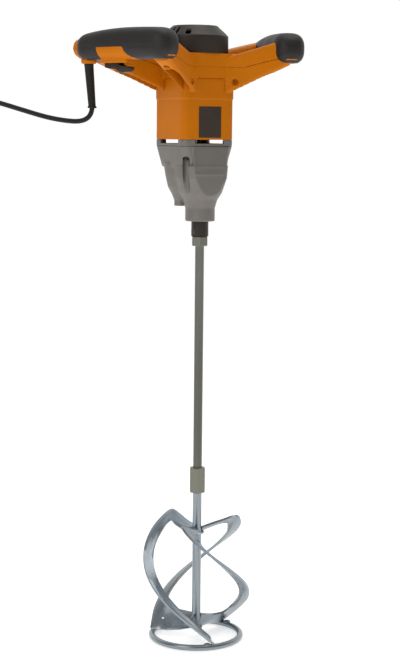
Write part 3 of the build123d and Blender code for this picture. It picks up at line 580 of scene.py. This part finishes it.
def make_shafts():
    """The two shafts; the upper one widens under the nut."""
    lower = [
        (SHAFT_R - 0.8, 12),
        (SHAFT_R, 12.8),
        (SHAFT_R, 120),
        (SHAFT_R, 235),
        (SHAFT_R, SHAFTS_MEET),
    ]
    lathe("lower_shaft_bar", lower, "zinc_steel", "spindle", "lower_shaft")
    upper = [(SHAFT_R, SHAFTS_MEET), (SHAFT_R, 400), (SHAFT_R, 586), (7.6, 588)]
    bar = lathe("upper_shaft_bar", upper, "zinc_steel", "spindle")
    # painted shade: the upper shaft takes a darker copy of the zinc plating
    bar.data.materials[0] = SHADED_SHAFT_STEEL


def make_ring():
    """The foot ring: a bent round bar."""
    rings = []
    for index in range(96):
        turn = 2 * math.pi * index / 96
        out = Vector((math.cos(turn), math.sin(turn), 0))
        middle = out * RING_R * MM + mm(0, 0, RING_BAR_R)
        rings.append(circle(middle, RING_BAR_R * MM, 28, out, Vector((0, 0, 1))))
    ring_tube("foot_ring_bar", rings, "zinc_steel", "spindle", "foot_ring", endless=True)


for number in range(1, BLADES + 1):
    blade_start = FIRST_START + (number - 1) * 360 / BLADES
    make_blade(number, blade_start)
    for weld_name, past, weld_radius, weld_z, weld_size, seed in WELDS:
        weld(f"{weld_name}_{number}", blade_start + past, weld_radius, weld_z, weld_size, number + seed)

hexagon("coupling_hexagon", COUPLING_FOOT, COUPLING_TOP, COUPLING_BORE, 1.8, "coupling_nut")
make_shafts()
hexagon("stirrer_nut", NUT_FOOT, NUT_TOP, 0, 1.4, "upper_shaft")
make_ring()

# ================================================================ moulded and cast pieces
CASTING_FILLERS = (  # carry the gear case's front face and its corner up to the flange
    (
        ((-27, -29.6, 690), (22, -29.6, 690), (22, -18, 690), (-27, -18, 690)),
        ((-28.5, -26.2, 730), (31, -26.2, 730), (31, -14, 730), (-28.5, -14, 730)),
    ),
    (
        ((21.9, -29.6, 690), (28, -26, 690), (28, -18, 690), (21.9, -18, 690)),
        ((30.9, -26.2, 730), (34.5, -24, 730), (34.5, -14, 730), (30.9, -14, 730)),
    ),
)
SOFTENED = (  # node, voxel size, rounds of smoothing
    ("bearing_plate", 0.7, 2),
    ("motor_housing", 0.9, 4),
    ("top_cap", 0.8, 3),
    ("handle_lower_shell", 1.0, 5),
    ("handle_upper_shell", 1.0, 5),
    ("speed_dial", 0.4, 2),
    ("cord_socket", 0.6, 3),
)
softened("gearbox_casting", 0.9, 9, CASTING_FILLERS)
for node, voxel, rounds in SOFTENED:
    softened(node, voxel, rounds)

# ================================================================ grips
GRIP_FRONT, GRIP_BACK = Vector((105, -67)), Vector((149, 56))
ALONG = (GRIP_BACK - GRIP_FRONT).normalized()
OUTWARDS = Vector((ALONG.y, -ALONG.x))
SECTIONS = (  # distance along, width, height, middle
    (-21.2, 8, 8, 868.5), (-20.2, 17, 17, 868.5), (-17.6, 27, 28, 868.6), (-12.5, 36.5, 37.6, 869),
    (-5.5, 42, 42, 869.8), (4, 44.2, 43, 870.4), (35, 44.2, 43, 871.4), (68, 44.2, 42.4, 871.6),
    (100, 43.6, 40.6, 870.4), (122, 42.8, 38.4, 868.8), (133, 40.8, 36, 867.8),
    (138.5, 36.5, 32, 867.4), (142.5, 31, 27.5, 867.2), (144.6, 26, 22.5, 867), (145.4, 22, 18, 867),
)
POINTS_ROUND, SQUARENESS = 96, 2.7  # a squareness of 2 is an ellipse
TRIGGER_OUTLINE = (  # its side, as (distance along, height)
    (98.5, 850), (98.6, 845), (98.2, 840), (95, 838.3), (86, 837.3), (79, 836.2), (74, 833.6),
    (69, 832), (62, 832), (58, 834), (55.4, 837), (55.8, 839.8), (59, 840.2), (65, 840.4),
    (71, 842.5), (76, 846), (80, 850), (88, 851), (98.5, 850),
)
SEAM_DEPTH, SEAM_WIDTH, SEAM_Z = 0.6, 0.55, 866.0
PROUD = 0.6  # the skin stands this far out of the sections
SKIN_FOOT_Z = 849.7  # the skin's lower edge
PATCH = (  # the switch's patch in the left grip's skin, as (distance along, height)
    (98.5, 846), (101.5, 866.4), (54.5, 866.4), (52.6, 865), (50.6, 860), (46.5, 855), (40, 851.5),
    (33, 848), (33, 846),
)


def grip_rings(side):
    """Rounded sections through the grip, with a fine parting groove along both flanks."""
    rings = []
    power = 2 / SQUARENESS
    for along, width, height, z in smooth_curve(SECTIONS, 5):
        ring = []
        for index in range(POINTS_ROUND):
            turn = 2 * math.pi * index / POINTS_ROUND
            u = math.copysign(abs(math.cos(turn)) ** power, math.cos(turn)) * (width / 2 + PROUD)
            v = math.copysign(abs(math.sin(turn)) ** power, math.sin(turn)) * (height / 2 + PROUD)
            near = math.exp(-((z + v - SEAM_Z) / SEAM_WIDTH) ** 2) if width > 20 else 0
            u -= math.copysign(SEAM_DEPTH * near, u)
            foot = GRIP_FRONT + ALONG * along + OUTWARDS * u
            ring.append(mm(side * foot.x, foot.y, z + v))
        rings.append(ring)
    return rings


def space_below(height):
    """A box that holds the space under a height, for cutting."""
    shape = bmesh.new()
    bmesh.ops.create_cube(shape, size=1.0)
    low, high = mm(-400, -400, 800), mm(400, 400, height)
    for vertex in shape.verts:
        vertex.co = Vector([low[k] + (high[k] - low[k]) * (vertex.co[k] + 0.5) for k in range(3)])
    return from_bmesh("cutter", shape)


def left_frame():
    """Millimetres (along, outwards, up) on the left grip to the object's frame."""
    rows = Matrix((
        (-ALONG.x, -OUTWARDS.x, 0, -GRIP_FRONT.x),
        (ALONG.y, OUTWARDS.y, 0, GRIP_FRONT.y),
        (0, 0, 1, 0),
        (0, 0, 0, 1),
    ))
    return Matrix.Scale(MM, 4) @ rows


def prism(outline, near, far):
    """A plate through the left grip from near to far outwards, of an outline in (along, height)."""
    place = left_frame()
    sides = [[place @ Vector((along, out, z)) for along, z in outline] for out in (near, far)]
    return through_rings("cutter", sides)


def make_grip(name, side):
    """A grip's rubber skin; the left one (side -1) has the switch's patch let into it."""
    skin = ring_tube(f"{name}_skin", grip_rings(side), "soft_grip", "housing", name, angle=50)
    cut(skin, space_below(SKIN_FOOT_Z))
    if side < 0:
        patch = ring_tube("switch_patch", grip_rings(side), "orange_plastic", "housing", angle=50)
        cut(patch, prism(PATCH, 4.0, 40), "INTERSECT")
        smooth_by_angle(patch.data, 50)
        # the skin is cut 1 mm deeper than the patch reaches
        cut(skin, prism(PATCH, 3.0, 41))
    smooth_by_angle(skin.data, 50)


def make_trigger():
    """The trigger's bar with its hooked front end."""
    outline = smooth_curve(TRIGGER_OUTLINE, 5)[:-1]
    middle = sum((Vector(point) for point in outline), Vector((0, 0))) / len(outline)
    place = left_frame()
    rings = []
    for out, inset in ((-7.2, 1.3), (-6.9, 0.4), (-5.8, 0), (5.8, 0), (6.9, 0.4), (7.2, 1.3)):
        ring = []
        for along, z in outline:
            towards = (middle - Vector((along, z))).normalized() * inset
            ring.append(place @ Vector((along + towards.x * 0.5, out, z + towards.y)))
        rings.append(ring)
    ring_tube("trigger_bar", rings, "black_plastic", "trigger", "trigger", angle=40)


make_grip("grip_rubber_right", 1)
make_grip("grip_rubber_left", -1)
make_trigger()

# ================================================================ screws and the rest
for node in ("gearbox_screws", "handle_screws", "cap_screws"):
    paint(frame["nodes"][node], "black_steel")
for node, obj in frame["nodes"].items():
    if not obj.data.materials or obj.data.materials[0] not in MATERIALS.values():
        paint(obj, SLOT_OF[node])

# ================================================================ studio
bpy.context.scene.view_settings.view_transform = "Standard"
WALL_LIGHT, ROOM_LIGHT = 1.02, 0.22
FLOOR_GLOW = 0.55


def make_floor():
    """A wide pale floor with a faint glow of its own."""
    shape = bmesh.new()
    bmesh.ops.create_grid(shape, x_segments=1, y_segments=1, size=8.0)
    floor = from_bmesh("floor", shape)
    nodes = Nodes("pale_floor", Roughness=0.9)
    nodes.colour(nodes.ramp(nodes.noise(2.0), (0.0, 0.86), (1.0, 0.88)))
    nodes.shader.inputs["Emission Color"].default_value = (1, 1, 1, 1)
    nodes.shader.inputs["Emission Strength"].default_value = FLOOR_GLOW
    floor.data.materials.append(nodes.material)


def area_light(name, place, target, size, power):
    data = bpy.data.lights.new(name, "AREA")
    data.size, data.energy = size, power
    light = bpy.data.objects.new(name, data)
    light.location = place
    light.rotation_euler = (Vector(target) - Vector(place)).to_track_quat("-Z", "Y").to_euler()
    bpy.context.scene.collection.objects.link(light)


def make_surroundings():
    """A lit white wall beyond the object, and a dimmer room behind the camera."""
    world = bpy.data.worlds.new("studio")
    world.use_nodes = True
    tree = world.node_tree
    direction = tree.nodes.new("ShaderNodeTexCoord").outputs["Generated"]
    facing = tree.nodes.new("ShaderNodeVectorMath")
    facing.operation = "DOT_PRODUCT"
    facing.inputs[1].default_value = (-math.sin(AZIMUTH), math.cos(AZIMUTH), 0)
    ramp = tree.nodes.new("ShaderNodeMapRange")
    ramp.interpolation_type = "SMOOTHSTEP"
    span = {"From Min": -0.3, "From Max": 0.8, "To Min": ROOM_LIGHT, "To Max": WALL_LIGHT}
    for socket, value in span.items():
        ramp.inputs[socket].default_value = value
    background = tree.nodes["Background"]
    tree.links.new(direction, facing.inputs[0])
    tree.links.new(facing.outputs["Value"], ramp.inputs["Value"])
    tree.links.new(ramp.outputs["Result"], background.inputs["Strength"])
    background.inputs["Color"].default_value = (1, 1, 1, 1)
    bpy.context.scene.world = world


make_floor()
make_surroundings()
area_light("key", (-2.4, -1.0, 1.9), (0, 0, 0.7), 1.4, 20)
area_light("top", (0.2, -0.2, 3.0), (0, 0, 0.6), 1.8, 24)
